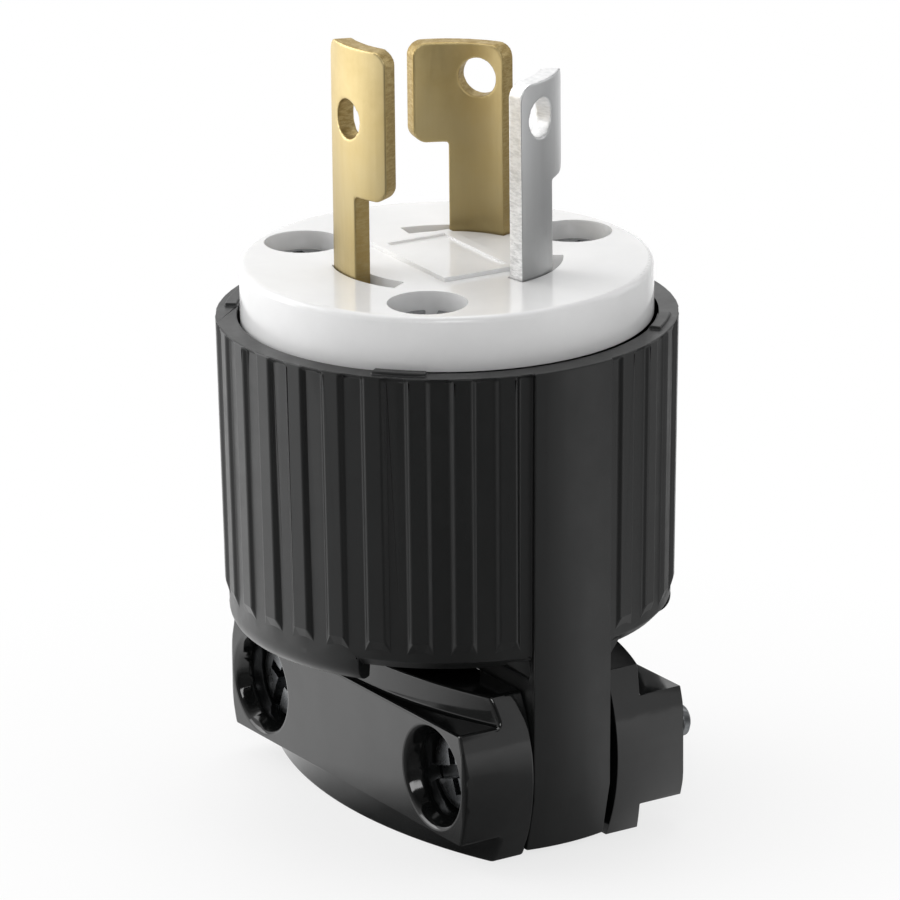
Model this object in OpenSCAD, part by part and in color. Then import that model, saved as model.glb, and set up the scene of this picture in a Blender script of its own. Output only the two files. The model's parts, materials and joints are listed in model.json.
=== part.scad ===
// Locking power plug: three curved blades, ribbed body, two-part cord clamp.
// The axis is Z. The plug stands on its cord clamp at z = 0, blades up.
// The two tangs lie on +X and -X, and the clamp halves on -Y (front) and +Y (rear).

/* [Body shell] */
// Thickness of the rim around the face
rim_wall = 1.75; // [1.4:0.05:3]
// How much smaller the radius is at the foot than at the rim
taper = 0.4; // [0.1:0.05:0.8]
// Height of the body from its raised lower edge to its rim
shell_h = 24.4; // [22:0.2:34]
// How far the tangs reach below that lower edge
tang_drop = 15.85; // [15.5:0.05:22]
// How much lower the skirt reaches over the clamp halves
skirt_drop = 1.5; // [0.4:0.1:2]
// Angle that each skirt covers
skirt_angle = 67; // [50:1:80]
// Radius of the rounded foot
foot_round = 2; // [1:0.1:2.4]
// Width of the ledge that carries the face
ledge_w = 1.65; // [1.2:0.05:1.8]
// Thickness of the floor under the wiring cavity
floor_t = 2.5; // [1.6:0.1:3.5]

/* [Ribbed grip] */
// Grooves on each side of the body
groove_count = 14; // [9:1:14]
// Angle from one groove to the next
groove_pitch = 11.1; // [9:0.05:11.2]
// Width of a groove at the surface
groove_w = 2.1; // [1.4:0.05:2.4]
// Width of a groove at its bottom
groove_floor_w = 1.35; // [0.8:0.05:1.4]
// Depth of a groove
groove_depth = 0.45; // [0.2:0.05:0.6]
// Height of the smooth band below the grooves
groove_start = 1.6; // [1.6:0.1:5]

/* [Face] */
// Diameter of the white face
face_d = 33.2; // [32:0.1:33.6]
// Height of the face above the rim
face_rise = 4.4; // [3.4:0.1:7]
// Depth of the seat in the rim that holds the face
face_seat = 1.5; // [1:0.1:2.5]
// Radius of the rounded edge of the face
face_round = 0.5; // [0.2:0.1:1]
// Length of the raised pad
pad_l = 11.8; // [8:0.1:12]
// Width of the raised pad
pad_w = 7.1; // [6:0.1:9]
// Height of the raised pad
pad_h = 0.35; // [0.2:0.05:0.8]
// Width of the frame around the pad
pad_frame = 0.9; // [0.5:0.1:1.5]

/* [Blades] */
// Outer diameter of the circle on which the blades lie
blade_d = 18.4; // [17.8:0.1:19]
// Thickness of the blade metal
blade_t = 1.52; // [1.2:0.02:1.6]
// Height of the ground blade above the face
ground_h = 18.9; // [16:0.1:20]
// Height of the line blade above the face
line_h = 15.7; // [14:0.1:16.5]
// Height of the neutral blade above the face
neutral_h = 15.9; // [14:0.1:16.5]
// Height of the space under the hook of the ground blade
ground_hook_h = 6.7; // [6:0.1:8.5]
// Height of the space under the two other hooks
hook_h = 7.4; // [6:0.1:8.5]
// Diameter of the hole in each blade
blade_hole_d = 3.2; // [2:0.1:3.4]
// Height of these holes above the face
blade_hole_h = 12.9; // [11:0.1:13]
// Radius of the corners of the blades
blade_round = 1.1; // [0.5:0.1:1.2]

/* [Terminals] */
// Width of the shoulder that holds a blade down
shoulder_w = 10.6; // [10:0.1:11]
// Height of that shoulder
shoulder_h = 2.4; // [1.6:0.1:2.6]
// Width of the tail that carries the terminal
tail_w = 8.4; // [7.6:0.1:9]
// Length of the tail below the shoulder
tail_l = 11; // [10.5:0.1:12]
// Width of the pressure plate
plate_w = 7; // [6:0.1:7.4]
// Height of the pressure plate
plate_h = 6.8; // [6:0.1:7]
// Thickness of the pressure plate
plate_t = 1.6; // [1.2:0.1:1.8]
// Thickness of the plate of the blade retainer
retainer_t = 4; // [3.4:0.1:5]
// Thickness of the walls between the terminals
wall_t = 1.5; // [1:0.1:1.8]

/* [Screws] */
// Thread diameter of all screws
screw_d = 3.5; // [3:0.1:3.6]
// Diameter of the heads of the face and terminal screws
head_d = 5.8; // [5:0.1:6]
// Height of all screw heads
head_h = 2.2; // [1.6:0.1:2.4]
// Diameter of the recesses for the face screws
face_recess_d = 6.4; // [6.2:0.1:6.8]
// Depth of these recesses
face_recess_h = 3.4; // [2.6:0.1:4]
// Distance of the face screws from the edge of the face
face_screw_in = 4.1; // [4:0.05:4.4]
// Depth to which the face screws enter the body
face_screw_grip = 10; // [6:0.5:12]
// Diameter of the heads of the clamp screws
clamp_head_d = 6.6; // [6:0.1:6.8]

/* [Cord clamp] */
// How far the ends of the clamp halves lie inside the foot of the body
clamp_inset = 0.2; // [0:0.1:0.8]
// Height of each clamp half
clamp_h = 14; // [13:0.1:14.6]
// Radius of the bulged ends, seen from the side
end_bulge_r = 14.8; // [13:0.2:30]
// Thickness of a half at the middle of its curved wall
bow_t = 6.2; // [6:0.05:6.6]
// Radius of that wall, seen from above
bow_r = 43.6; // [38:0.2:60]
// Thickness of a half at its flat bar
bar_t = 6.6; // [6.2:0.05:7.2]
// Height of the bar
bar_h = 9.3; // [8.8:0.1:10]
// Height of the bar above the bottom
bar_z = 2.4; // [1.6:0.1:2.8]
// Diameter of the cord channel
channel_d = 12; // [9:0.5:14]
// Width of the tangs
tang_w = 7.3; // [6:0.1:8]
// Depth of the tangs, from outside in
tang_depth = 8.2; // [7:0.1:9]
// Height of the tangs above the bottom of the clamp
tang_lift = 0.5; // [0.1:0.1:1]
// Gap between the tangs and the rear half
rear_gap = 0.6; // [0.2:0.1:1.2]
// Distance of a clamp screw from the inner side of its tang
clamp_screw_in = 3.1; // [2.8:0.1:3.8]
// Diameter of the conical recess over a screw head
cone_d = 8.3; // [7.6:0.1:8.6]
// Depth of that cone
cone_h = 1.6; // [1:0.1:2.2]
// Depth of the head of a clamp screw below the flat face
head_sink = 2.1; // [1.6:0.1:2.6]
// Length of the screw tip beyond the rear half
tip_l = 3.1; // [1:0.1:5]

/* [Clearances] */
// Clearance around the cord where it enters the body
entry_gap = 0.2; // [0.1:0.05:0.4]
// Clearance around parts that slide into each other
fit_gap = 0.15; // [0.05:0.05:0.2]
// Clearance around the face in its seat
face_gap = 0.25; // [0.1:0.05:0.3]
// Clearance around a screw in its clear hole
screw_gap = 0.2; // [0.1:0.05:0.4]
// Clearance around a screw in its thread
thread_gap = 0.05; // [0.02:0.01:0.1]

/* [Hidden] */
$fn = 96;

// Overrun of every cut past the surface that it opens
cut = 0.5;
// Depth by which a straight side enters the round that it runs into
ease = 0.02;

// Directions around the axis, in degrees: both edges of a stem, the end of its hook, and its hole
ground_arc = [-110.5, -84, -62.8, -90];
line_arc = [110.5, 145.5, 167, 127.5];
neutral_arc = [8, 34.5, 55.8, 23.7];
// Angle by which a slot runs past the hook of its blade, and past its stem
slot_lead = 4;
slot_lag = 1;
// Directions of the face screws
back_screw_a = 92.5;
left_screw_a = 214.5;
front_screw_a = -39.5;

// Height of the underside of the floor above the raised lower edge
floor_rise = 0.9;
// Wall of the skirt that hangs below the floor
skirt_wall = 2.4;
// Size of the chamfer on the raised lower edge
edge_chamfer = 0.8;
// Radius of the boss around each face screw
boss_r = 3;
// Small raised nubs on the rim: directions, span, radial size and height
nub_dirs = [-135, -45, 45, 135];
nub_span = 14;
nub_t = 1.1;
nub_h = 0.25;
// How far the smooth panels stand out of the lands of the grip
panel_rise = 0.2;
// Length of the sloping lower end of a groove
groove_slope = 0.8;
// Inward lean of the tips of the tangs, and the height over which they lean
tang_lean = 1;
tang_lean_h = 4.7;
// Turn of the raised pad against the line of the tangs
pad_turn = -3;
// Width and height of the slanted root of a tang, and how far it rises past the lower edge
root_w = 2.1;
root_h = 1.55;
root_rise = 0.5;
// How far that root lies inside the side of the body
root_in = 0.4;
// Fullness of the corners of the blades, where 1 is a quarter circle
corner_share = 1.15;
// Clearance on the inner side of the blade slots
slot_in_gap = 0.18;
// How far the flat tails lie inside the outer surface of the blades
tail_set = 0.4;
// Space between the retainer and a pressure plate
plate_gap = 0.5;
// Radius of the core of the retainer
hub_r = 2.6;
// Length of the terminal screws beyond their plates
terminal_tip = 0.9;
// Chamfer on the tips of the screws, and the slot for the driver
tip_chamfer = 0.4;
driver_w = 1.1;
driver_h = 0.9;
// Radius of the corners of the clamp bars
bar_round = 0.5;

// Levels above the bottom of the plug
edge_z = tang_lift + tang_drop;
skirt_z = edge_z - skirt_drop;
rim_z = edge_z + shell_h;
seat_z = rim_z - face_seat;
face_z = rim_z + face_rise;
floor_z = edge_z + floor_rise;
cavity_z = floor_z + floor_t;
retainer_z = seat_z - retainer_t;
tail_top_z = seat_z - shoulder_h;
tail_z = tail_top_z - tail_l;
terminal_z = retainer_z - plate_gap - plate_h / 2;
head_seat_z = face_z - face_recess_h;
clamp_mid_z = clamp_h / 2;
clamp_screw_z = bar_z + bar_h / 2;

// Distances from the axis, and the angle of the drafted side
seat_r = face_d / 2 + face_gap;
rim_r = seat_r + rim_wall;
foot_r = rim_r - taper;
draft = atan(taper / shell_h);
cavity_r = seat_r - ledge_w;
face_screw_r = face_d / 2 - face_screw_in;
retainer_r = cavity_r - fit_gap;
wall_reach = face_screw_r - boss_r - fit_gap;
blade_r = blade_d / 2;
blade_in_r = blade_r - blade_t;
tail_r = blade_r - tail_set;
tail_in_r = tail_r - blade_t;
terminal_screw_end_r = tail_in_r - plate_t - terminal_tip;
tang_in_x = foot_r - tang_depth;
panel_in_x = foot_r - groove_depth - cut;
clamp_x = tang_in_x + clamp_screw_in;
clamp_half_l = foot_r - clamp_inset;
front_y = tang_w / 2 + bar_t;
rear_y = front_y + rear_gap;
channel_r = channel_d / 2;
entry_r = channel_r + entry_gap;
thread_r = screw_d / 2 + thread_gap;
clear_r = screw_d / 2 + screw_gap;
head_bore_r = clamp_head_d / 2 + screw_gap;
head_seat_y = front_y - head_sink - head_h;

function mid(arc) = (arc[0] + arc[1]) / 2;
// Radius of the drafted side of the body at the level z
function side_r(z) = foot_r + (z - edge_z) * tan(draft);

// Sector of a ring between two directions and two levels
module ring_sector(r0, r1, a0, a1, z0, z1) {
    rotate([0, 0, a0])
        rotate_extrude(angle = a1 - a0)
            translate([r0, z0]) square([r1 - r0, z1 - z0]);
}

// Turns a drawing so that it stands in the plane across the direction a
module facing(a, z) {
    rotate([0, 0, a]) translate([0, 0, z]) rotate([90, 0, 90]) children();
}

// Cylinder that points away from the axis in the direction a
module radial_cylinder(a, z, r, from_r, to_r) {
    rotate([0, 0, a]) translate([from_r, 0, z]) rotate([0, 90, 0])
        cylinder(r = r, h = to_r - from_r);
}

// Section of the cup-shaped body, with its rounded foot tangent to the drafted side
module shell_section() {
    low = skirt_z;
    r_low = side_r(skirt_z);
    round_x = r_low + foot_round * tan(draft) - foot_round / cos(draft);
    difference() {
        union() {
            polygon([
                [0, low], [round_x, low],
                [round_x + (foot_round - ease) * cos(draft), low + foot_round - foot_round * sin(draft)],
                [rim_r, rim_z], [0, rim_z]
            ]);
            translate([round_x, low + foot_round]) circle(r = foot_round);
        }
        translate([0, cavity_z]) square([cavity_r, shell_h]);
        translate([0, seat_z]) square([seat_r, face_seat + cut]);
        translate([0, low - cut]) square([r_low - skirt_wall, floor_z - low + cut]);
        translate([0, low]) square([entry_r, shell_h]);
    }
}

// Space between the skirts, where the lower edge is raised
module skirt_notch(a) {
    span = 180 - skirt_angle;
    reach = rim_r + cut;
    rotate([0, 0, a - span / 2])
        rotate_extrude(angle = span)
            polygon([
                [entry_r + wall_t, skirt_z - cut], [reach, skirt_z - cut],
                [reach, edge_z + edge_chamfer + (reach - foot_r)],
                [foot_r - edge_chamfer, edge_z], [entry_r + wall_t, edge_z]
            ]);
}

// One groove of the grip: slanted sides, drafted like the body, sloping at its lower end
module groove(a) {
    z0 = edge_z + groove_start;
    r0 = side_r(z0);
    out = groove_depth + cut;
    flare = (groove_w - groove_floor_w) / groove_depth / 2 * out;
    rotate([0, 0, a]) translate([r0 - groove_depth, 0, z0]) rotate([0, draft, 0])
        intersection() {
            linear_extrude(height = shell_h)
                polygon([
                    [0, -groove_floor_w / 2], [out, -groove_floor_w / 2 - flare],
                    [out, groove_floor_w / 2 + flare], [0, groove_floor_w / 2]
                ]);
            translate([0, groove_w, 0]) rotate([90, 0, 0])
                linear_extrude(height = 2 * groove_w)
                    polygon([
                        [-cut, groove_slope], [0, groove_slope],
                        [out, groove_slope - groove_slope / groove_depth * out],
                        [out, shell_h], [-cut, shell_h]
                    ]);
        }
}

// Tang on the side of +X, which runs on up the body as a smooth raised panel
module tang() {
    reach = rim_r + panel_rise + cut;
    intersection() {
        translate([0, tang_w / 2, 0]) rotate([90, 0, 0])
            linear_extrude(height = tang_w)
                polygon([
                    [tang_in_x, tang_lift], [reach, tang_lift], [reach, rim_z], [panel_in_x, rim_z],
                    [panel_in_x, floor_z + floor_t / 2], [tang_in_x, floor_z + floor_t / 2]
                ]);
        rotate_extrude()
            polygon([
                [0, tang_lift], [side_r(tang_lift) + panel_rise - tang_lean, tang_lift],
                [side_r(tang_lift + tang_lean_h) + panel_rise, tang_lift + tang_lean_h],
                [rim_r + panel_rise, rim_z], [0, rim_z]
            ]);
    }
}

// Slanted root that widens the tang on the side of +X where it meets the body
module tang_root() {
    top = edge_z + root_rise;
    wide = tang_w / 2 + root_w;
    intersection() {
        translate([tang_in_x, 0, 0]) rotate([90, 0, 90])
            linear_extrude(height = tang_depth)
                polygon([
                    [-tang_w / 2, top - root_h], [tang_w / 2, top - root_h], [wide, top],
                    [wide, floor_z + root_rise], [-wide, floor_z + root_rise], [-wide, top]
                ]);
        cylinder(r = foot_r - root_in, h = rim_z);
    }
}

module body_shell() {
    first = 90 - (groove_count - 1) / 2 * groove_pitch;
    color("#26282b")
        difference() {
            union() {
                difference() {
                    rotate_extrude() shell_section();
                    for (a = [0, 180]) skirt_notch(a);
                    for (side = [0, 180], i = [0 : groove_count - 1])
                        groove(side + first + i * groove_pitch);
                }
                for (a = [0, 180]) rotate([0, 0, a]) {
                    tang();
                    tang_root();
                }
                for (a = [back_screw_a, left_screw_a, front_screw_a])
                    face_screw_boss(a);
                for (a = nub_dirs)
                    ring_sector(seat_r + fit_gap, seat_r + nub_t, a - nub_span / 2, a + nub_span / 2,
                        rim_z - nub_h, rim_z + nub_h);
            }
            for (a = [back_screw_a, left_screw_a, front_screw_a])
                rotate([0, 0, a]) translate([face_screw_r, 0, retainer_z - face_screw_grip - cut])
                    cylinder(r = thread_r, h = face_screw_grip + 2 * cut);
            for (x = [-clamp_x, clamp_x])
                translate([x, tang_w, clamp_screw_z]) rotate([90, 0, 0])
                    cylinder(r = clear_r, h = 2 * tang_w);
        }
}

// Boss that holds the thread of a face screw, grown onto the wall of the cavity
module face_screw_boss(a) {
    depth = cavity_r - face_screw_r + cut;
    rotate([0, 0, a]) translate([face_screw_r, 0, cavity_z - cut]) {
        cylinder(r = boss_r, h = retainer_z - cavity_z + cut);
        translate([0, -boss_r, 0]) cube([depth, 2 * boss_r, retainer_z - cavity_z + cut]);
    }
}

// Slot through the face for one blade, long enough to pass its hook
module blade_slot(arc) {
    ring_sector(blade_in_r - slot_in_gap, blade_r + fit_gap, arc[0] - slot_lag, arc[2] + slot_lead,
        seat_z - cut, face_z + cut);
}

// Section of the face, with its rounded upper edge
module face_section() {
    r = face_d / 2;
    translate([0, seat_z]) square([r, face_z - seat_z - face_round]);
    translate([0, seat_z]) square([r - face_round, face_z - seat_z]);
    translate([r - face_round, face_z - face_round]) circle(r = face_round);
}

module raised_pad() {
    rotate([0, 0, pad_turn]) translate([-pad_l / 2, -pad_w / 2, face_z - cut])
        cube([pad_l, pad_w, pad_h + cut]);
}

module pad_hollow() {
    rotate([0, 0, pad_turn])
        translate([pad_frame - pad_l / 2, pad_frame - pad_w / 2, face_z + pad_h / 2])
            cube([pad_l - 2 * pad_frame, pad_w - 2 * pad_frame, pad_h]);
}

module face_insert() {
    color("#f1f1ec")
        difference() {
            union() {
                rotate_extrude() face_section();
                raised_pad();
            }
            pad_hollow();
            for (arc = [ground_arc, line_arc, neutral_arc]) blade_slot(arc);
            for (a = [back_screw_a, left_screw_a, front_screw_a])
                rotate([0, 0, a]) translate([face_screw_r, 0, 0]) {
                    translate([0, 0, head_seat_z])
                        cylinder(r = face_recess_d / 2, h = face_recess_h + cut);
                    translate([0, 0, seat_z - cut]) cylinder(r = clear_r, h = face_z - seat_z);
                }
        }
}

// Box that stands in the direction a, from one distance and level to another
module radial_box(a, r0, r1, w, z0, z1) {
    rotate([0, 0, a]) translate([r0, -w / 2, z0]) cube([r1 - r0, w, z1 - z0]);
}

// Inner piece that traps the blades under the face and keeps the terminals apart
module blade_retainer() {
    arcs = [ground_arc, line_arc, neutral_arc];
    screws = [back_screw_a, left_screw_a, front_screw_a];
    walls = [
        (mid(neutral_arc) + mid(line_arc)) / 2,
        (mid(line_arc) + mid(ground_arc) + 360) / 2,
        (mid(ground_arc) + mid(neutral_arc)) / 2
    ];
    color("#e6e5df")
        difference() {
            union() {
                translate([0, 0, retainer_z]) cylinder(r = retainer_r, h = retainer_t);
                translate([0, 0, tail_z - wall_t])
                    cylinder(r = hub_r, h = retainer_z - tail_z + wall_t + cut);
                for (a = walls) radial_box(a, hub_r / 2, wall_reach, wall_t, tail_z, retainer_z + cut);
            }
            for (arc = arcs) {
                radial_box(mid(arc), tail_in_r - fit_gap, blade_r + fit_gap,
                    shoulder_w + 2 * fit_gap, tail_top_z, seat_z + cut);
                radial_box(mid(arc), tail_in_r - fit_gap, tail_r + fit_gap,
                    tail_w + 2 * fit_gap, retainer_z - cut, seat_z);
            }
            for (a = screws)
                rotate([0, 0, a]) translate([face_screw_r, 0, retainer_z - cut])
                    cylinder(r = clear_r, h = retainer_t + 2 * cut);
        }
}

// Rounds a corner of a blade at the direction a and level z
// across is 1 where the metal lies to the left of the corner, and up is 1 on an upper edge
module corner_cut(a, z, across, up) {
    reach = blade_round * corner_share;
    facing(a, z)
        linear_extrude(height = blade_r + cut)
            difference() {
                translate([across, -up] * (reach - cut) / 2) square(reach + cut, center = true);
                translate([across, -up] * reach) circle(r = norm([reach, reach - blade_round]));
            }
}

// Curved blade: stem, hook, shoulder and flat tail, all of one sheet
module blade(arc, h, under_h) {
    top = face_z + h;
    under = face_z + under_h;
    a = mid(arc);
    difference() {
        union() {
            difference() {
                ring_sector(blade_in_r, blade_r, arc[0], arc[2], tail_top_z, top);
                ring_sector(blade_in_r - cut, blade_r + cut, arc[1], arc[2] + slot_lead,
                    tail_top_z - cut, under);
            }
            radial_box(a, tail_in_r, tail_r, shoulder_w, tail_top_z, seat_z);
            radial_box(a, tail_in_r, tail_r, tail_w, tail_z, seat_z);
        }
        corner_cut(arc[0], top, 1, 1);
        corner_cut(arc[2], top, -1, 1);
        corner_cut(arc[2], under, -1, -1);
        radial_cylinder(arc[3], face_z + blade_hole_h, blade_hole_d / 2, blade_in_r - cut, blade_r + cut);
        radial_cylinder(a, terminal_z, clear_r, tail_in_r - cut, tail_r + cut);
    }
}

module ground_blade() {
    color("#c9a35a") blade(ground_arc, ground_h, ground_hook_h);
}

module line_blade() {
    color("#c9a35a") blade(line_arc, line_h, hook_h);
}

module neutral_blade() {
    color("#c4c6c8") blade(neutral_arc, neutral_h, hook_h);
}

// Plate on the inner side of a tail, which the terminal screw pulls against the wire
module pressure_plate(arc) {
    difference() {
        radial_box(mid(arc), tail_in_r - plate_t, tail_in_r, plate_w,
            terminal_z - plate_h / 2, terminal_z + plate_h / 2);
        radial_cylinder(mid(arc), terminal_z, thread_r, tail_in_r - plate_t - cut, tail_in_r + cut);
    }
}

module ground_pressure_plate() {
    color("#b9b9b4") pressure_plate(ground_arc);
}

module line_pressure_plate() {
    color("#c9a35a") pressure_plate(line_arc);
}

module neutral_pressure_plate() {
    color("#b9b9b4") pressure_plate(neutral_arc);
}

// Screw along +Z with its head from z = 0 up, a slot across the head and a chamfered tip
module screw(l, d) {
    difference() {
        union() {
            cylinder(r = d / 2, h = head_h);
            translate([0, 0, tip_chamfer - l]) cylinder(r = screw_d / 2, h = l - tip_chamfer + head_h / 2);
            translate([0, 0, -l]) cylinder(r1 = screw_d / 2 - tip_chamfer, r2 = screw_d / 2, h = tip_chamfer);
        }
        translate([-d, -driver_w / 2, head_h - driver_h]) cube([2 * d, driver_w, driver_h + cut]);
    }
}

module terminal_screw(arc) {
    rotate([0, 0, mid(arc)]) translate([tail_r, 0, terminal_z]) rotate([0, 90, 0])
        screw(tail_r - terminal_screw_end_r, head_d);
}

module ground_terminal_screw() {
    color("#3f7f4a") terminal_screw(ground_arc);
}

module line_terminal_screw() {
    color("#c9a35a") terminal_screw(line_arc);
}

module neutral_terminal_screw() {
    color("#c4c6c8") terminal_screw(neutral_arc);
}

// Long screw from the face through the retainer into a boss of the body
module face_screw(a) {
    color("#b4b6b8")
        rotate([0, 0, a]) translate([face_screw_r, 0, head_seat_z])
            screw(head_seat_z - retainer_z + face_screw_grip, head_d);
}

module face_screw_back() {
    face_screw(back_screw_a);
}

module face_screw_left() {
    face_screw(left_screw_a);
}

module face_screw_front() {
    face_screw(front_screw_a);
}

// Outline of a clamp half from the side: straight above and below, bulged ends
module clamp_side() {
    for (side = [0, 1]) mirror([side, 0])
        intersection() {
            square([clamp_half_l, clamp_h]);
            translate([clamp_half_l - end_bulge_r, clamp_mid_z]) circle(r = end_bulge_r);
        }
}

// Outline of the curved wall from above, between its inner face and the bow
module bow_plan() {
    intersection() {
        translate([-clamp_half_l, 0]) square([2 * clamp_half_l, bow_t]);
        translate([0, bow_t - bow_r]) circle(r = bow_r, $fn = 4 * $fn);
    }
}

// Outline of the flat bar from above, with small rounded corners
module bar_plan() {
    x = clamp_half_l - bar_round;
    translate([-x, 0]) square([2 * x, bar_t]);
    translate([-clamp_half_l, 0]) square([2 * clamp_half_l, bar_t - bar_round]);
    for (side = [-x, x]) translate([side, bar_t - bar_round]) circle(r = bar_round);
}

// Clamp half on the side of +Y with its inner face at inner_y, before its screw holes
module clamp_half(inner_y) {
    difference() {
        translate([0, inner_y, 0])
            intersection() {
                union() {
                    linear_extrude(height = clamp_h) bow_plan();
                    translate([0, 0, bar_z]) linear_extrude(height = bar_h) bar_plan();
                }
                translate([0, bar_t + cut, 0]) rotate([90, 0, 0])
                    linear_extrude(height = bar_t + 2 * cut) clamp_side();
            }
        translate([0, 0, -cut]) cylinder(r = channel_r, h = clamp_h + 2 * cut);
    }
}

// Cylinder along Y through a clamp screw's axis
module clamp_bore(x, y0, y1, r0, r1) {
    translate([x, y0, clamp_screw_z]) rotate([-90, 0, 0]) cylinder(r1 = r0, r2 = r1, h = y1 - y0);
}

module cord_clamp_front() {
    cone_growth = (cone_d / 2 - head_bore_r) / cone_h * cut;
    color("#1b1c1e")
        mirror([0, 1, 0])
            difference() {
                clamp_half(tang_w / 2);
                for (x = [-clamp_x, clamp_x]) {
                    clamp_bore(x, 0, front_y, clear_r, clear_r);
                    clamp_bore(x, head_seat_y, front_y, head_bore_r, head_bore_r);
                    clamp_bore(x, front_y - cone_h, front_y + cut, head_bore_r, cone_d / 2 + cone_growth);
                }
            }
}

module cord_clamp_rear() {
    color("#1b1c1e")
        difference() {
            clamp_half(tang_w / 2 + rear_gap);
            for (x = [-clamp_x, clamp_x]) clamp_bore(x, 0, rear_y + cut, thread_r, thread_r);
        }
}

// Screw that draws the clamp halves together through a tang
module clamp_screw(x) {
    color("#a9abad")
        translate([x, -head_seat_y, clamp_screw_z]) rotate([90, 0, 0])
            screw(head_seat_y + rear_y + tip_l, clamp_head_d);
}

module clamp_screw_left() {
    clamp_screw(-clamp_x);
}

module clamp_screw_right() {
    clamp_screw(clamp_x);
}

body_shell();
face_insert();
blade_retainer();
ground_blade();
line_blade();
neutral_blade();
ground_pressure_plate();
line_pressure_plate();
neutral_pressure_plate();
ground_terminal_screw();
line_terminal_screw();
neutral_terminal_screw();
face_screw_back();
face_screw_left();
face_screw_front();
cord_clamp_front();
cord_clamp_rear();
clamp_screw_left();
clamp_screw_right();
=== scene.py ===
import json
import math

import bmesh
import bpy
from mathutils import Matrix, Vector


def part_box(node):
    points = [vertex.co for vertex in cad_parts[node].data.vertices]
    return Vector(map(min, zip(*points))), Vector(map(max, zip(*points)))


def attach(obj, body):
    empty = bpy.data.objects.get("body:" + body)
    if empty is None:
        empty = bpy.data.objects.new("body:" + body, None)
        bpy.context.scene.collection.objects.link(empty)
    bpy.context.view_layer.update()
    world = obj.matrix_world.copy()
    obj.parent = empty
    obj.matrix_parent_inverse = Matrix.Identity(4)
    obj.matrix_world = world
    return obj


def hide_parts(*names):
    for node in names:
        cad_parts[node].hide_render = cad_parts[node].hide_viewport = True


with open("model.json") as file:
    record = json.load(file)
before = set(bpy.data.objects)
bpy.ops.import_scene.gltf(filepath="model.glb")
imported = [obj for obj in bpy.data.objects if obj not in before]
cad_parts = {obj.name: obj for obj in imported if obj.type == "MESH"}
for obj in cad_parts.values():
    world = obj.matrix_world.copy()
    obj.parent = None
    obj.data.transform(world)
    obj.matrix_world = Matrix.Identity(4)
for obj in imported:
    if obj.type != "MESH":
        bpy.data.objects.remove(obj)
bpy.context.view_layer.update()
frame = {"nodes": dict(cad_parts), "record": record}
nodes = frame["nodes"]

MM = 0.001

# Vertices nearer to each other than this are one
WELD_REACH = 0.001 * MM

# Camera: its angle round the plug from X in degrees, its distance from the plug's axis, its height,
# the point that it looks at, its roll in degrees, and its lens and sensor in millimetres
CAMERA_ANGLE = -32.5
CAMERA_REACH = 535.80 * MM
CAMERA_HEIGHT = 203.96 * MM
AIM_HEIGHT = 28.94 * MM
AIM_SIDE = 0.12 * MM
CAMERA_ROLL = 0.594
CAMERA_LENS = 279.49
SENSOR = 36.0
CLIP_NEAR = 0.01
CLIP_FAR = 10.0

# Lamps: angle from the camera round the plug and elevation in degrees, distance, width and height
# in metres, and power in watts
LAMPS = {
    "left": (-105, 12, 0.6, 0.45, 0.8, 2.9),
    "right": (115, 12, 0.6, 0.3, 0.8, 0.7),
    "top": (180, 75, 0.6, 0.4, 0.4, 1.0),
    "front": (5, 30, 0.8, 0.3, 0.25, 1.2),
}

# Height on the plug's axis that the lamps are turned to
LAMP_AIM = 30 * MM

# Brightness of the studio round the plug, from its camera side over the right, the back and the
# left to the camera side again: share of a full turn and brightness
STUDIO = [
    (0.0, 0.07), (0.125, 0.25), (0.18, 0.8), (0.24, 0.4), (0.31, 0.22), (0.38, 0.35), (0.44, 0.8),
    (0.5, 1.2), (0.56, 0.9), (0.62, 0.85), (0.7, 1.1), (0.8, 0.85), (0.87, 0.3), (1.0, 0.07),
]

# What the studio's brightness is multiplied by in the room and in the floor as surfaces mirror it
WORLD_LEVEL = 0.85
FLOOR_LEVEL = 1.3

# Floor: half its side, and its roughness
FLOOR_REACH = 1.5
FLOOR_ROUGHNESS = 0.6

# Share of plain white in the floor under the plug as the camera sees it, and the distances from the
# plug's axis between which it grows to the whole
FLOOR_GLOW = 0.75
GLOW_FROM = 20 * MM
GLOW_TO = 60 * MM

# Painted shadow in the floor as glossy surfaces mirror it: share of its mirrored brightness left under
# the plug, and the distances from the plug's axis between which it grows to the whole
FLOOR_PAINTED_SHADOW = 0.3
PAINTED_SHADOW_FROM = 10 * MM
PAINTED_SHADOW_TO = 18 * MM

# Body: bottom of its skirts and of its side, top of its foot round, and top of its rim, the side's
# radius at two of these levels, and the depth of the grooves
SKIRT_Z = 14.85 * MM
EDGE_Z = 16.35 * MM
FOOT_Z = 16.85 * MM
RIM_Z = 40.75 * MM
FOOT_R = 18.2 * MM
RIM_R = 18.6 * MM
GROOVE_DEPTH = 0.45 * MM

# Grip ribs: how far they stand proud, the height over which they run out under the rim, the share
# of the foot's radius outside which the foot is drawn in below them, and the slack of these tests
RIB_H = 0.32 * MM
RIB_RUN_OUT = 0.35 * MM
FOOT_SKIN_SHARE = 0.85
SLACK = 0.02 * MM

# Edge rounding of the moulded pieces, as a radius, and its steps
EDGE_ROUND = {
    "body_shell": 0.12 * MM,
    "cord_clamp_front": 0.3 * MM,
    "cord_clamp_rear": 0.3 * MM,
}
EDGE_STEPS = 3

# Faces within the first angle of each other are one flat face, and edges between faces that turn by
# more than the second are rounded, in degrees
FLAT_ANGLE = 0.5
SHARP_ANGLE = 25

# Blades: size of the cells that their surface is drawn anew with, and how their edges are softened
BLADE_CELL = 0.1 * MM
BLADE_SOFTENING = 5
SOFTENING_SHARE = 0.5

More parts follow.
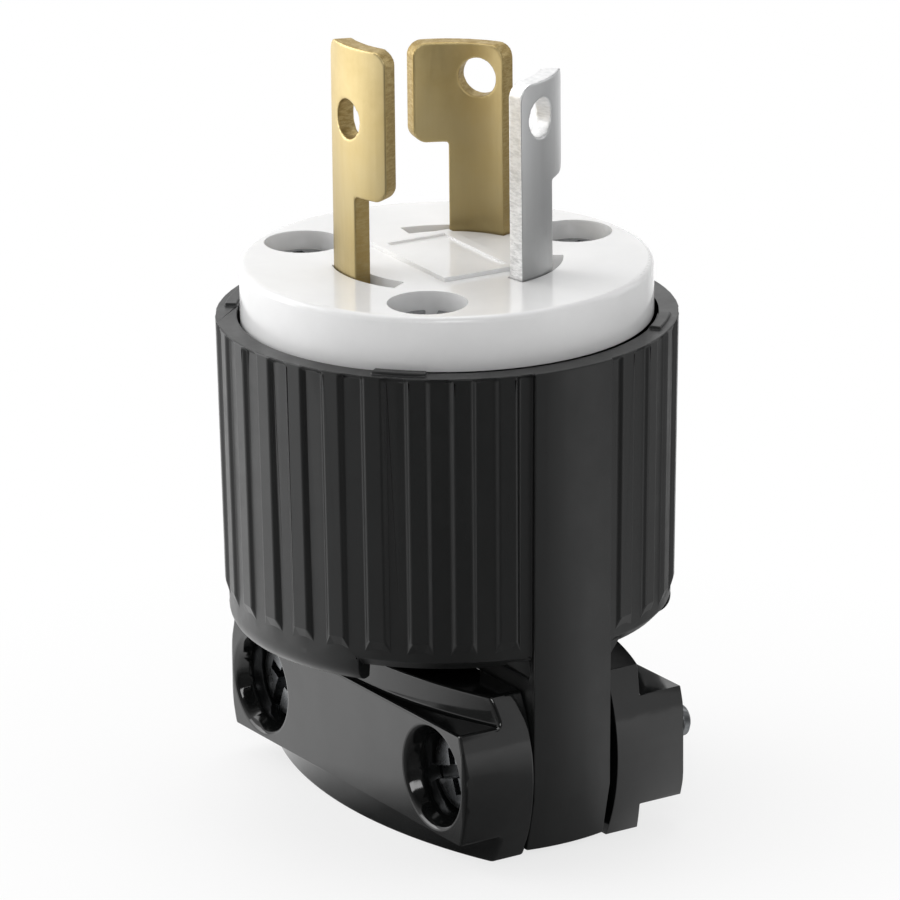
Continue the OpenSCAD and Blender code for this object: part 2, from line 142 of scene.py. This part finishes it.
# Screw heads: height, fall of the crowned top, level and radius of the round at its rim, steps of
# that round in degrees, chamfer underneath, width and depth of the slot, and length of its cut as
# a share of the head's radius, which runs out past both sides
HEAD_H = 2.2 * MM
CROWN_FALL = 0.22 * MM
CROWN_SHARES = (0.25, 0.5, 0.75, 0.86)
ROUND_TOP = 0.2 * MM
ROUND_R = 0.4 * MM
ROUND_STEP = 15
HEAD_CHAMFER = 0.1 * MM
SLOT_W = 1.1 * MM
SLOT_DEPTH = 0.9 * MM
SLOT_CUT_SHARE = 3

# Cross recess across the slot, as shares of the head's radius and of the slot's width and depth
CROSS_LENGTH_SHARE = 1.15
CROSS_WIDTH_SHARE = 0.8
CROSS_DEPTH_SHARE = 1.55

# Screw shanks: radius, plain neck, and the thread's pitch, depth, run-in, rows to a turn, how steep
# its flanks are and how wide its crest stays
SHANK_R = 1.75 * MM
NECK = 1.6 * MM
THREAD_PITCH = 0.794 * MM
THREAD_DEPTH = 0.42 * MM
THREAD_RUN_IN = 1.2 * MM
THREAD_ROWS = 10
THREAD_SLOPE = 1.25
THREAD_CREST = 0.12

# Screw tips: height, height of the cone at their end, how far that narrows at its start and at its
# end, and the share of the thread's depth that reaches it
TIP_H = 0.6 * MM
CONE_H = 0.3 * MM
CONE_START = 0.3 * MM
CONE_END = 0.65 * MM
TIP_THREAD_SHARE = 0.4

# Turn of each screw's slot, in degrees, and the angle past which a screw's edges stay sharp
CLAMP_SCREW_TURNS = {"clamp_screw_left": 62, "clamp_screw_right": 18}
FACE_SCREW_TURNS = {"face_screw_back": 25, "face_screw_left": 78, "face_screw_front": 140}
CREASE_ANGLE = 40

# Levels between which the painted shade on the blades' lower part fades out towards their ends, the
# shares of the metal's colour that it keeps at these levels, and how far the shade's border wanders up
# and down
PAINTED_SHADE_LOW = 47 * MM
PAINTED_SHADE_HIGH = 59 * MM
SHADED_SHARE = 0.55
UNSHADED_SHARE = 0.95
SHADE_WANDER = 2 * MM

# Values between which nearly all of a noise lies, and the lower one where it makes patches
NOISE_LOW = 0.3
NOISE_HIGH = 0.7
PATCH_LOW = 0.35

# Sheet metal: how squarely a face looks away from the plug's axis or to it where it is wholly cut
# edge and where it is wholly sheet, the noise level at which the torn grain of an edge is wholly
# edge colour, and the share of that colour where the grain is lowest
CUT_SQUARENESS = 0.35
SHEET_SQUARENESS = 0.75
TORN_HIGH = 0.6
TORN_SHARE = 0.4

# Index of refraction of the plain nylons, and of the clamp's, which shines more
NYLON_IOR = 1.53
GLOSSY_IOR = 1.6


def direction(angle, elevation=0.0):
    """Unit vector at that angle round the axis and above the horizon, in degrees."""
    a, e = math.radians(angle), math.radians(elevation)
    return Vector((math.cos(a) * math.cos(e), math.sin(a) * math.cos(e), math.sin(e)))


class Graph:
    """Short calls for the nodes of one material."""

    def __init__(self, name):
        self.material = bpy.data.materials.new(name)
        self.material.use_nodes = True
        self.tree = self.material.node_tree
        self.tree.nodes.clear()
        self.output = self.add("ShaderNodeOutputMaterial")
        self.shader = self.add("ShaderNodeBsdfPrincipled")
        self.link(self.shader.outputs["BSDF"], self.output.inputs["Surface"])
        self.place = self.add("ShaderNodeTexCoord").outputs["Object"]

    def add(self, kind, **settings):
        node = self.tree.nodes.new(kind)
        for key, value in settings.items():
            setattr(node, key, value)
        return node

    def link(self, source, target):
        self.tree.links.new(source, target)

    def feed(self, target, value):
        """Links an output to the socket, or sets its value."""
        if isinstance(value, bpy.types.NodeSocket):
            self.link(value, target)
        else:
            target.default_value = value

    def set(self, **sockets):
        """Sets sockets of the shader, with _ for a space in their names."""
        for key, value in sockets.items():
            self.feed(self.shader.inputs[key.replace("_", " ")], value)

    def drawn_out(self, along_z):
        """Place with its Z multiplied: noise there is long along Z below 1 and pressed flat above."""
        node = self.add("ShaderNodeMapping")
        self.link(self.place, node.inputs["Vector"])
        node.inputs["Scale"].default_value = (1, 1, along_z)
        return node.outputs["Vector"]

    def noise(self, size, detail=3.0, roughness=0.5, place=None):
        """Noise whose largest features are about size metres across."""
        node = self.add("ShaderNodeTexNoise")
        self.link(place or self.place, node.inputs["Vector"])
        node.inputs["Scale"].default_value = 1.0 / size
        node.inputs["Detail"].default_value = detail
        node.inputs["Roughness"].default_value = roughness
        return node.outputs["Fac"]

    def ramp(self, value, from_low, from_high, to_low, to_high):
        node = self.add("ShaderNodeMapRange")
        for key, v in (("Value", value), ("From Min", from_low), ("From Max", from_high),
                       ("To Min", to_low), ("To Max", to_high)):
            self.feed(node.inputs[key], v)
        return node.outputs["Result"]

    def spread(self, noise, low, high):
        """The noise, stretched to run from low to high."""
        return self.ramp(noise, NOISE_LOW, NOISE_HIGH, low, high)

    def patches(self, noise):
        """Share that is 0 in the low patches of the noise and 1 in the high ones."""
        return self.ramp(noise, PATCH_LOW, NOISE_HIGH, 0, 1)

    def math(self, operation, a, b=0.0):
        node = self.add("ShaderNodeMath", operation=operation)
        self.feed(node.inputs[0], a)
        self.feed(node.inputs[1], b)
        return node.outputs[0]

    def mix(self, share, a, b):
        """Colour between a and b."""
        node = self.add("ShaderNodeMix", data_type="RGBA")
        self.feed(node.inputs["Factor"], share)
        self.feed(node.inputs[6], a)
        self.feed(node.inputs[7], b)
        return node.outputs[2]

    def bump(self, height, depth, strength, normal=None):
        node = self.add("ShaderNodeBump")
        node.inputs["Strength"].default_value = strength
        node.inputs["Distance"].default_value = depth
        self.link(height, node.inputs["Height"])
        if normal is not None:
            self.link(normal, node.inputs["Normal"])
        return node.outputs["Normal"]


def studio_level(tree, place):
    """Output with the studio's brightness in the direction of place, a vector of the scene."""
    add, link = tree.nodes.new, tree.links.new
    flat = []
    for angle in (CAMERA_ANGLE - 90, CAMERA_ANGLE + 180):
        dot = add("ShaderNodeVectorMath")
        dot.operation = "DOT_PRODUCT"
        link(place, dot.inputs[0])
        dot.inputs[1].default_value = direction(angle)
        flat.append(dot.outputs["Value"])
    turn = add("ShaderNodeMath")
    turn.operation = "ARCTAN2"
    link(flat[0], turn.inputs[0])
    link(flat[1], turn.inputs[1])
    share = add("ShaderNodeMapRange")
    link(turn.outputs[0], share.inputs["Value"])
    share.inputs["From Min"].default_value = -math.pi
    share.inputs["From Max"].default_value = math.pi
    ramp = add("ShaderNodeValToRGB")
    link(share.outputs["Result"], ramp.inputs["Fac"])
    stops = ramp.color_ramp.elements
    for at, level in STUDIO:
        stop = stops[0] if at == 0 else stops[-1] if at == 1 else stops.new(at)
        stop.color = (level, level, level, 1)
    return ramp.outputs["Color"]


def rgb(hex_colour):
    """Linear colour with alpha from a six-digit sRGB colour."""
    parts = [int(hex_colour[i:i + 2], 16) / 255 for i in (0, 2, 4)]
    return tuple(p / 12.92 if p <= 0.04045 else ((p + 0.055) / 1.055) ** 2.4 for p in parts) + (1.0,)


def body_nylon():
    """Black moulded nylon with a satin skin: fine grain, faint flow marks, and duller patches."""
    g = Graph("body_nylon")
    flow = g.noise(9 * MM, detail=4, roughness=0.6, place=g.drawn_out(0.35))
    grain = g.noise(0.12 * MM, detail=2)
    wear = g.noise(2.5 * MM, detail=5, roughness=0.65)
    marks = g.bump(flow, depth=0.03 * MM, strength=0.5)
    g.shader.inputs["IOR"].default_value = NYLON_IOR
    g.set(Base_Color=g.mix(g.patches(flow), rgb("121313"), rgb("191a1a")),
          Roughness=g.spread(wear, low=0.3, high=0.42),
          Normal=g.bump(grain, depth=0.004 * MM, strength=0.5, normal=marks))
    return g.material


def clamp_nylon():
    """Glossier black nylon with the slight waviness of a moulded skin."""
    g = Graph("clamp_nylon")
    wave = g.noise(3.5 * MM, detail=2, roughness=0.45)
    fine = g.noise(0.3 * MM, detail=3)
    wear = g.noise(1.8 * MM, detail=5, roughness=0.65)
    waviness = g.bump(wave, depth=0.06 * MM, strength=0.5)
    g.shader.inputs["IOR"].default_value = GLOSSY_IOR
    g.set(Base_Color=g.mix(g.patches(wave), rgb("0b0c0c"), rgb("131414")),
          Roughness=g.spread(wear, low=0.07, high=0.13),
          Normal=g.bump(fine, depth=0.0015 * MM, strength=0.5, normal=waviness))
    return g.material


def face_nylon():
    """White glossy nylon that lets a little light in."""
    g = Graph("face_nylon")
    tint = g.noise(6 * MM, detail=4, roughness=0.6)
    wave = g.noise(4 * MM, detail=2, roughness=0.4)
    fine = g.noise(0.25 * MM, detail=2)
    wear = g.noise(2 * MM, detail=4, roughness=0.6)
    waviness = g.bump(wave, depth=0.02 * MM, strength=0.4)
    g.shader.inputs["IOR"].default_value = NYLON_IOR
    g.shader.inputs["Subsurface Weight"].default_value = 0.3
    g.shader.inputs["Subsurface Radius"].default_value = (1.0, 1.0, 1.0)
    g.shader.inputs["Subsurface Scale"].default_value = 0.8 * MM
    g.set(Base_Color=g.mix(g.spread(tint, low=0, high=1), rgb("efefef"), rgb("f5f5f5")),
          Roughness=g.spread(wear, low=0.1, high=0.18),
          Normal=g.bump(fine, depth=0.001 * MM, strength=0.5, normal=waviness))
    return g.material


def inner_nylon():
    """Plain off-white nylon of the inner retainer."""
    g = Graph("inner_nylon")
    tint = g.noise(4 * MM, detail=4)
    fine = g.noise(0.2 * MM, detail=2)
    wear = g.noise(1.5 * MM, detail=4)
    g.shader.inputs["IOR"].default_value = NYLON_IOR
    g.set(Base_Color=g.mix(tint, rgb("dcdad2"), rgb("e8e6df")),
          Roughness=g.spread(wear, low=0.3, high=0.45),
          Normal=g.bump(fine, depth=0.002 * MM, strength=0.5))
    return g.material


def sheet_metal(name, light, dark, edge, rough, edge_rough):
    """Rolled sheet: fine vertical grain, tarnish patches, painted shade low down, torn grain on cut
    edges.

    The blades are bent round the plug's axis, so a face that looks squarely away from the axis or
    to it is sheet, and any other is a cut edge.
    """
    g = Graph(name)
    geometry = g.add("ShaderNodeNewGeometry")
    level_place = g.add("ShaderNodeVectorMath", operation="MULTIPLY")
    g.link(g.place, level_place.inputs[0])
    level_place.inputs[1].default_value = (1, 1, 0)
    outward = g.add("ShaderNodeVectorMath", operation="NORMALIZE")
    g.link(level_place.outputs[0], outward.inputs[0])
    facing = g.add("ShaderNodeVectorMath", operation="DOT_PRODUCT")
    g.link(geometry.outputs["Normal"], facing.inputs[0])
    g.link(outward.outputs[0], facing.inputs[1])
    squareness = g.math("ABSOLUTE", facing.outputs["Value"])
    on_edge = g.ramp(squareness, CUT_SQUARENESS, SHEET_SQUARENESS, 1, 0)

    rolled = g.noise(0.5 * MM, detail=4, roughness=0.6, place=g.drawn_out(0.12))
    torn = g.noise(0.7 * MM, detail=4, roughness=0.7, place=g.drawn_out(3.5))
    tarnish_and_shade_noise = g.noise(5 * MM, detail=5, roughness=0.6)

    height = g.add("ShaderNodeSeparateXYZ")
    g.link(g.place, height.inputs[0])
    # Painted shade: the metal's colour is darkened towards black on the blades' lower part, near the
    # face, along a wandering border; the same noise also makes the tarnish patches
    shade_border_wander = g.spread(tarnish_and_shade_noise, low=-SHADE_WANDER, high=SHADE_WANDER)
    level = g.math("ADD", height.outputs["Z"], shade_border_wander)
    share_kept_by_painted_shade = g.ramp(level, PAINTED_SHADE_LOW, PAINTED_SHADE_HIGH, SHADED_SHARE, UNSHADED_SHARE)
    skin_with_painted_shade = g.mix(share_kept_by_painted_shade, rgb("000000"), g.mix(g.patches(tarnish_and_shade_noise), light, dark))
    cut = g.math("MULTIPLY", on_edge, g.ramp(torn, PATCH_LOW, TORN_HIGH, TORN_SHARE, 1))

    roughness = g.add("ShaderNodeMix", data_type="FLOAT")
    g.feed(roughness.inputs["Factor"], on_edge)
    g.feed(roughness.inputs[2], g.spread(rolled, low=rough - 0.05, high=rough + 0.07))
    g.feed(roughness.inputs[3], g.spread(torn, low=edge_rough - 0.1, high=edge_rough + 0.1))

    grain = g.bump(rolled, depth=0.008 * MM, strength=0.7)
    relief = g.math("MULTIPLY", torn, on_edge)
    g.set(Base_Color=g.mix(cut, skin_with_painted_shade, edge),
          Metallic=1.0,
          Roughness=roughness.outputs[0],
          Normal=g.bump(relief, depth=0.05 * MM, strength=0.8, normal=grain))
    return g.material


def fastener_metal(name, light, dark, rough):
    """Plated screw metal with small handling marks."""
    g = Graph(name)
    marks = g.noise(0.6 * MM, detail=5, roughness=0.7)
    fine = g.noise(0.15 * MM, detail=3)
    g.set(Base_Color=g.mix(g.patches(marks), light, dark),
          Metallic=1.0,
          Roughness=g.spread(marks, low=rough - 0.06, high=rough + 0.1),
          Normal=g.bump(fine, depth=0.002 * MM, strength=0.5))
    return g.material


def make_materials():
    return {
        "body_nylon": body_nylon(),
        "clamp_nylon": clamp_nylon(),
        "face_nylon": face_nylon(),
        "inner_nylon": inner_nylon(),
        "brass": sheet_metal("brass", light=rgb("e2ce9a"), dark=rgb("d0ba83"), edge=rgb("a8915e"),
                             rough=0.42, edge_rough=0.5),
        "nickel": sheet_metal("nickel", light=rgb("e6e7e7"), dark=rgb("d8d9da"), edge=rgb("fbfbfb"),
                              rough=0.38, edge_rough=0.45),
        "zinc": fastener_metal("zinc", light=rgb("c6c8ca"), dark=rgb("a9abad"), rough=0.26),
        "steel": fastener_metal("steel", light=rgb("8a8c8e"), dark=rgb("66686a"), rough=0.28),
        "green_screw": fastener_metal("green_screw", light=rgb("3f8a4e"), dark=rgb("2d6a3a"), rough=0.3),
    }


def dress_nodes(materials):
    """Gives each CAD node the material of its slot in the record."""
    for part in frame["record"]["subparts"]:
        node = nodes[part["node"]]
        node.data.materials.clear()
        node.data.materials.append(materials[part["material_slot"]])


def mesh_object(name, bm):
    """Object in the scene made from a bmesh, which is freed."""
    mesh = bpy.data.meshes.new(name)
    bm.to_mesh(mesh)
    bm.free()
    piece = bpy.data.objects.new(name, mesh)
    bpy.context.scene.collection.objects.link(piece)
    return piece


def side_radius(z):
    """Radius of the body's drafted side at that level."""
    return FOOT_R + (z - EDGE_Z) * (RIM_R - FOOT_R) / (RIM_Z - EDGE_Z)


def make_ribbed_body(materials):
    """Copy of the body on which the grip's grooves become ribs that stand proud of its side."""
    bm = bmesh.new()
    bm.from_mesh(nodes["body_shell"].data)
    bmesh.ops.remove_doubles(bm, verts=bm.verts, dist=WELD_REACH)
    bmesh.ops.bisect_plane(bm, geom=bm.verts[:] + bm.edges[:] + bm.faces[:],
                           plane_co=(0, 0, RIM_Z - RIB_RUN_OUT), plane_no=(0, 0, 1))
    for v in bm.verts:
        side_r = side_radius(v.co.z)
        r = math.hypot(v.co.x, v.co.y)
        on_grip = v.co.z > FOOT_Z + SLACK
        low = side_r - GROOVE_DEPTH - SLACK if on_grip else FOOT_SKIN_SHARE * FOOT_R
        if v.co.z < SKIRT_Z or v.co.z > RIM_Z + SLACK or not low < r < side_r + SLACK:
            continue
        if on_grip:
            groove = min(1.0, (side_r - r) / GROOVE_DEPTH)
            fade = min(1.0, (RIM_Z - v.co.z) / RIB_RUN_OUT)
            new_r = side_r - RIB_H * fade * (1 - groove)
        else:
            new_r = r - RIB_H * (v.co.z - SKIRT_Z) / (FOOT_Z - SKIRT_Z)
        v.co.x *= new_r / r
        v.co.y *= new_r / r
    body = mesh_object("body_shell_ribbed", bm)
    body.data.materials.append(materials["body_nylon"])
    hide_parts("body_shell")
    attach(body, "root")
    return body


def weld(piece):
    """Joins the piece's faces along their edges with a modifier."""
    piece.modifiers.new("weld", "WELD").merge_threshold = WELD_REACH


def round_edges(pieces):
    """Rounds the edges of the pieces with modifiers, which leave their meshes as they are."""
    for name, radius in EDGE_ROUND.items():
        piece = pieces[name]
        weld(piece)
        planar = piece.modifiers.new("planar", "DECIMATE")
        planar.decimate_type = "DISSOLVE"
        planar.angle_limit = math.radians(FLAT_ANGLE)
        bevel = piece.modifiers.new("bevel", "BEVEL")
        bevel.width = radius
        bevel.segments = EDGE_STEPS
        bevel.limit_method = "ANGLE"
        bevel.angle_limit = math.radians(SHARP_ANGLE)
        bevel.use_clamp_overlap = name.startswith("cord_clamp")
        bevel.miter_outer = "MITER_ARC"
        piece.modifiers.new("normals", "WEIGHTED_NORMAL").keep_sharp = True


def soften_blades():
    """Draws the blades' surfaces anew with small even faces and softens their stamped edges."""
    for name in ("ground_blade", "line_blade", "neutral_blade"):
        blade = nodes[name]
        weld(blade)
        even = blade.modifiers.new("even", "REMESH")
        even.mode = "VOXEL"
        even.voxel_size = BLADE_CELL
        even.use_smooth_shade = True
        soft = blade.modifiers.new("soft", "SMOOTH")
        soft.factor = SOFTENING_SHARE
        soft.iterations = BLADE_SOFTENING


def lathe(name, rows, segments=64):
    """Closed mesh turned round Z from rows of (z, radius, thread depth), between two ends on the axis."""
    bm = bmesh.new()
    rings = []
    for z, radius, depth in rows[1:-1]:
        ring = []
        for k in range(segments):
            turn = k / segments
            wave = abs((z / THREAD_PITCH + turn) % 1.0 * 2 - 1)
            r = radius - depth * min(1.0, max(0.0, THREAD_SLOPE * wave - THREAD_CREST))
            ring.append(bm.verts.new((r * math.cos(turn * math.tau), r * math.sin(turn * math.tau), z)))
        rings.append(ring)
    start = bm.verts.new((0, 0, rows[0][0]))
    end = bm.verts.new((0, 0, rows[-1][0]))
    for k in range(segments):
        n = (k + 1) % segments
        bm.faces.new((start, rings[0][n], rings[0][k]))
        for upper, lower in zip(rings, rings[1:]):
            bm.faces.new((upper[k], upper[n], lower[n], lower[k]))
        bm.faces.new((rings[-1][k], rings[-1][n], end))
    bmesh.ops.recalc_face_normals(bm, faces=bm.faces)
    return mesh_object(name, bm)


def carve(piece, cutters):
    """Cuts the cutters out of the piece and removes them."""
    for cutter in cutters:
        cut = piece.modifiers.new("cut", "BOOLEAN")
        cut.operation = "DIFFERENCE"
        cut.solver = "EXACT"
        cut.object = cutter
    shaped = piece.evaluated_get(bpy.context.evaluated_depsgraph_get())
    piece.data = bpy.data.meshes.new_from_object(shaped)
    piece.modifiers.clear()
    for cutter in cutters:
        bpy.data.objects.remove(cutter)


def block(length, width, depth, turn):
    """Box that reaches that deep below the origin and as far above it, turned about Z."""
    bm = bmesh.new()
    bmesh.ops.create_cube(bm, size=1.0)
    piece = mesh_object("block", bm)
    size = Matrix.Diagonal((length, width, 2 * depth, 1))
    piece.matrix_world = Matrix.Rotation(math.radians(turn), 4, "Z") @ size
    return piece


def head_rows(head_r):
    """Rows of a fillister head: its crowned top, the round at its rim, its side and its chamfer."""
    rows = [(0, 0, 0)]
    for share in CROWN_SHARES:
        rows.append((-CROWN_FALL * share ** 2, head_r * share, 0))
    for angle in range(0, 91, ROUND_STEP):
        a = math.radians(angle)
        fall = ROUND_TOP + ROUND_R * (1 - math.cos(a))
        rows.append((-fall, head_r - ROUND_R * (1 - math.sin(a)), 0))
    rows.append((HEAD_CHAMFER - HEAD_H, head_r, 0))
    rows.append((-HEAD_H, head_r - HEAD_CHAMFER, 0))
    return rows


def shank_rows(length):
    """Rows of a shank: its plain neck, its thread and its tip."""
    neck = HEAD_H + NECK
    rows = [(-HEAD_H, SHANK_R, 0), (-neck, SHANK_R, 0)]
    z = neck
    while z < length - TIP_H:
        rows.append((-z, SHANK_R, THREAD_DEPTH * min(1.0, (z - neck) / THREAD_RUN_IN)))
        z += THREAD_PITCH / THREAD_ROWS
    rows.append((CONE_H - length, SHANK_R - CONE_START, THREAD_DEPTH * TIP_THREAD_SHARE))
    rows.append((-length, SHANK_R - CONE_END, 0))
    rows.append((-length, 0, 0))
    return rows


def screw_piece(name, head_r, length, turn):
    """Fillister head with a slot and a cross, a plain neck, and a rolled thread down to the tip.

    Its axis is Z, the head's top at z = 0 and the tip below.
    """
    piece = lathe(name, head_rows(head_r) + shank_rows(length))
    slot = block(SLOT_CUT_SHARE * head_r, SLOT_W, SLOT_DEPTH, turn)
    cross = block(CROSS_LENGTH_SHARE * head_r, CROSS_WIDTH_SHARE * SLOT_W,
                  CROSS_DEPTH_SHARE * SLOT_DEPTH, turn + 90)
    carve(piece, [slot, cross])
    return piece


def place_screw(piece, node, where, materials):
    """Moves a detailed screw to its place and lets it stand for the CAD node."""
    piece.matrix_world = where
    for polygon in piece.data.polygons:
        polygon.use_smooth = True
    piece.modifiers.new("split", "EDGE_SPLIT").split_angle = math.radians(CREASE_ANGLE)
    piece.data.materials.clear()
    piece.data.materials.append(materials["steel"])
    bpy.context.view_layer.update()
    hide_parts(node)
    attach(piece, "root")


def make_screws(materials):
    """Stands detailed screws in for the plain ones of the CAD."""
    to_front = Matrix.Rotation(math.radians(90), 4, "X")
    for name, turn in CLAMP_SCREW_TURNS.items():
        low, high = (Vector(c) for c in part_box(name))
        middle = (low + high) / 2
        piece = screw_piece(name + "_detail", (high.x - low.x) / 2, high.y - low.y, turn)
        where = Matrix.Translation((middle.x, low.y, middle.z)) @ to_front
        place_screw(piece, name, where, materials)
    for name, turn in FACE_SCREW_TURNS.items():
        low, high = (Vector(c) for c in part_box(name))
        middle = (low + high) / 2
        piece = screw_piece(name + "_detail", (high.x - low.x) / 2, high.z - low.z, turn)
        place_screw(piece, name, Matrix.Translation((middle.x, middle.y, high.z)), materials)


def looking(place, aim):
    """Matrix that stands at place and looks at aim."""
    turn = (aim - place).to_track_quat("-Z", "Y").to_matrix().to_4x4()
    return Matrix.Translation(place) @ turn


def make_camera():
    camera = bpy.data.cameras.new("camera")
    camera.lens = CAMERA_LENS
    camera.sensor_width = SENSOR
    camera.clip_start = CLIP_NEAR
    camera.clip_end = CLIP_FAR
    holder = bpy.data.objects.new("camera", camera)
    bpy.context.scene.collection.objects.link(holder)
    place = direction(CAMERA_ANGLE) * CAMERA_REACH + Vector((0, 0, CAMERA_HEIGHT))
    aim = direction(CAMERA_ANGLE + 90) * AIM_SIDE + Vector((0, 0, AIM_HEIGHT))
    roll = Matrix.Rotation(math.radians(-CAMERA_ROLL), 4, "Z")
    holder.matrix_world = looking(place, aim) @ roll
    bpy.context.scene.camera = holder


def make_lamps():
    """Soft rectangular lamps round the plug, turned to it."""
    aim = Vector((0, 0, LAMP_AIM))
    for name, (angle, elevation, distance, width, height, power) in LAMPS.items():
        lamp = bpy.data.lights.new(name, "AREA")
        lamp.shape = "RECTANGLE"
        lamp.size = width
        lamp.size_y = height
        lamp.energy = power
        holder = bpy.data.objects.new(name, lamp)
        bpy.context.scene.collection.objects.link(holder)
        place = aim + direction(CAMERA_ANGLE + angle, elevation) * distance
        holder.matrix_world = looking(place, aim)


def make_world():
    """Room lit by the bands of the studio, which the camera sees as plain white."""
    world = bpy.data.worlds.new("studio")
    world.use_nodes = True
    tree = world.node_tree
    tree.nodes.clear()
    add, link = tree.nodes.new, tree.links.new
    output = add("ShaderNodeOutputWorld")
    lit = add("ShaderNodeBackground")
    link(studio_level(tree, add("ShaderNodeTexCoord").outputs["Generated"]), lit.inputs["Color"])
    lit.inputs["Strength"].default_value = WORLD_LEVEL
    seen = add("ShaderNodeBackground")
    seen.inputs["Color"].default_value = (1, 1, 1, 1)
    path = add("ShaderNodeLightPath")
    mix = add("ShaderNodeMixShader")
    link(path.outputs["Is Camera Ray"], mix.inputs[0])
    link(lit.outputs[0], mix.inputs[1])
    link(seen.outputs[0], mix.inputs[2])
    link(mix.outputs[0], output.inputs["Surface"])
    bpy.context.scene.world = world


def make_floor():
    """White floor that keeps the plug's shadow near it and runs out to plain white.

    Glossy surfaces mirror the studio's bands in it, darkened under the plug by a painted shadow.
    """
    bm = bmesh.new()
    bmesh.ops.create_grid(bm, x_segments=1, y_segments=1, size=FLOOR_REACH)
    floor = mesh_object("floor", bm)
    g = Graph("floor")
    g.set(Base_Color=rgb("f4f4f4"), Roughness=FLOOR_ROUGHNESS)
    path = g.add("ShaderNodeLightPath")
    away = g.add("ShaderNodeVectorMath", operation="LENGTH")
    g.link(g.place, away.inputs[0])
    distance = away.outputs["Value"]

    glow = g.add("ShaderNodeEmission")
    white_share = g.ramp(distance, GLOW_FROM, GLOW_TO, FLOOR_GLOW, 1)
    seen = g.math("MULTIPLY", white_share, path.outputs["Is Camera Ray"])

    mirrored_with_painted_shadow = g.add("ShaderNodeEmission")
    # Painted shadow: the brightness that glossy surfaces mirror in the floor is darkened under the plug
    strength = g.ramp(distance, PAINTED_SHADOW_FROM, PAINTED_SHADOW_TO, FLOOR_PAINTED_SHADOW * FLOOR_LEVEL, FLOOR_LEVEL)
    g.link(studio_level(g.tree, g.place), mirrored_with_painted_shadow.inputs["Color"])
    g.link(strength, mirrored_with_painted_shadow.inputs["Strength"])

    surface = g.shader.outputs[0]
    for factor, other in ((seen, glow), (path.outputs["Is Glossy Ray"], mirrored_with_painted_shadow)):
        mix = g.add("ShaderNodeMixShader")
        g.link(factor, mix.inputs[0])
        g.link(surface, mix.inputs[1])
        g.link(other.outputs[0], mix.inputs[2])
        surface = mix.outputs[0]
    g.link(surface, g.output.inputs["Surface"])
    floor.data.materials.append(g.material)


materials = make_materials()
make_camera()
make_lamps()
make_world()
make_floor()
dress_nodes(materials)
round_edges({**nodes, "body_shell": make_ribbed_body(materials)})
soften_blades()
make_screws(materials)

bpy.context.scene.view_settings.view_transform = "Standard"
